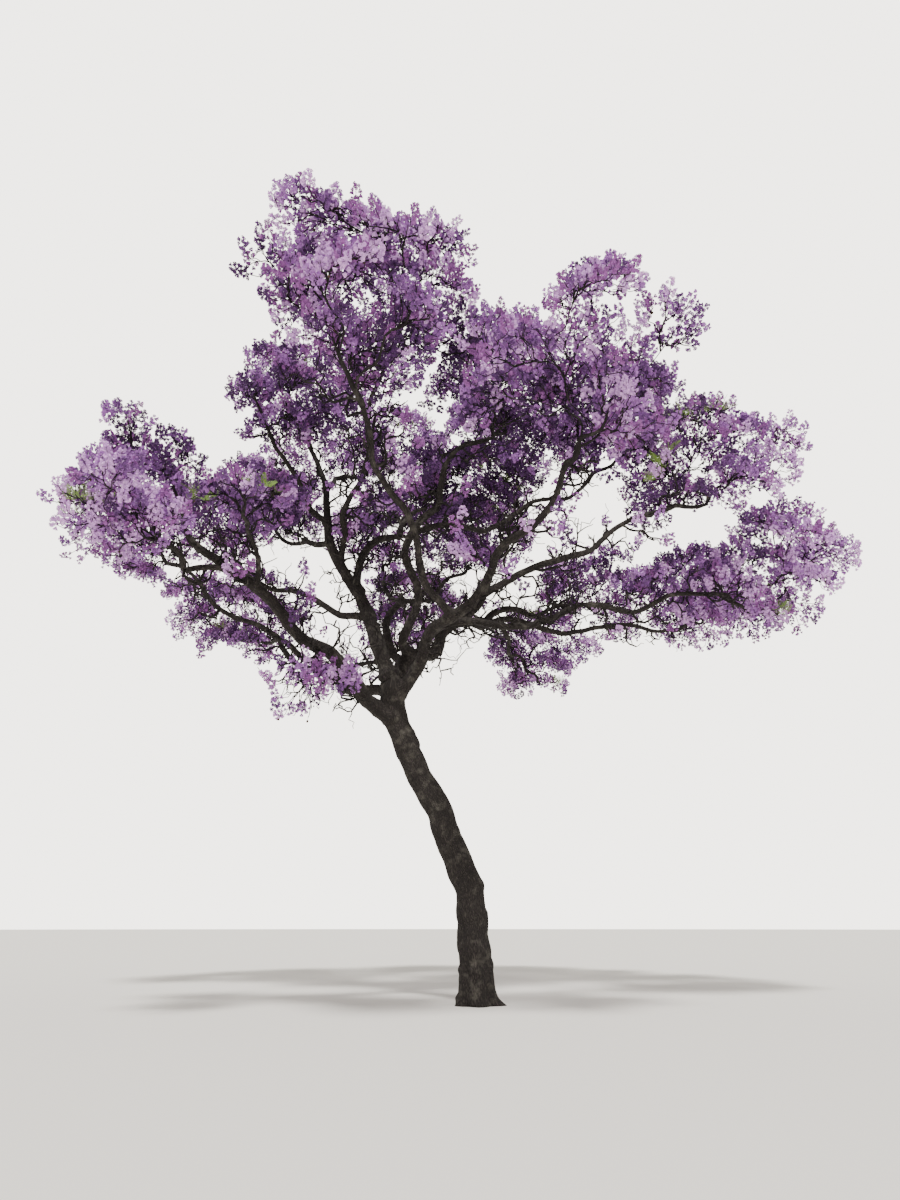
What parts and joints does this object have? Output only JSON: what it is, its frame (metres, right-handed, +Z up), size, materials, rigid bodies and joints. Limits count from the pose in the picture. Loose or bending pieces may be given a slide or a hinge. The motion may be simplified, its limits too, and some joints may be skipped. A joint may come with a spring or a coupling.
{
  "type": "jacaranda tree",
  "caption": "Tall jacaranda tree in full bloom: a leaning trunk with a flared foot, wandering boughs and a broad open crown of violet blossom.",
  "frame": {"origin": "centre of the trunk's flat cut at ground level", "axes": "+Z up along plumb, +X to the right as the tree is seen from its front, +Y away from the viewer"},
  "size_m": [18.7908, 18.9066, 17.5944],
  "materials": {
    "bark": "matte",
    "blossom": "matte"
  },
  "bodies": {
    "root": {"trunk": "bark", "long_bough": "bark", "long_lower": "bark", "long_riser": "bark", "long_drop": "bark", "left_leader": "bark", "leader_side": "bark", "leader_crown": "bark", "leader_near": "bark", "leader_far": "bark", "leader_back": "bark", "middle_bough": "bark", "right_bough": "bark", "right_top": "bark", "right_low": "bark", "right_far": "bark", "inner_bough": "bark", "inner_far": "bark", "near_riser": "bark", "near_top": "bark", "far_bough": "bark", "far_left": "bark", "far_right": "bark", "near_bough": "bark", "near_left": "bark", "near_right": "bark", "near_out": "bark", "long_bough_blossom": "blossom", "long_lower_blossom": "blossom", "long_riser_blossom": "blossom", "long_drop_blossom": "blossom", "left_leader_blossom": "blossom", "leader_side_blossom": "blossom", "leader_crown_blossom": "blossom", "leader_near_blossom": "blossom", "leader_far_blossom": "blossom", "leader_back_blossom": "blossom", "middle_bough_blossom": "blossom", "right_bough_blossom": "blossom", "right_top_blossom": "blossom", "right_low_blossom": "blossom", "right_far_blossom": "blossom", "inner_bough_blossom": "blossom", "inner_far_blossom": "blossom", "near_riser_blossom": "blossom", "near_top_blossom": "blossom", "far_bough_blossom": "blossom", "far_left_blossom": "blossom", "far_right_blossom": "blossom", "near_bough_blossom": "blossom", "near_left_blossom": "blossom", "near_right_blossom": "blossom", "near_out_blossom": "blossom"}
  },
  "joints": []
}
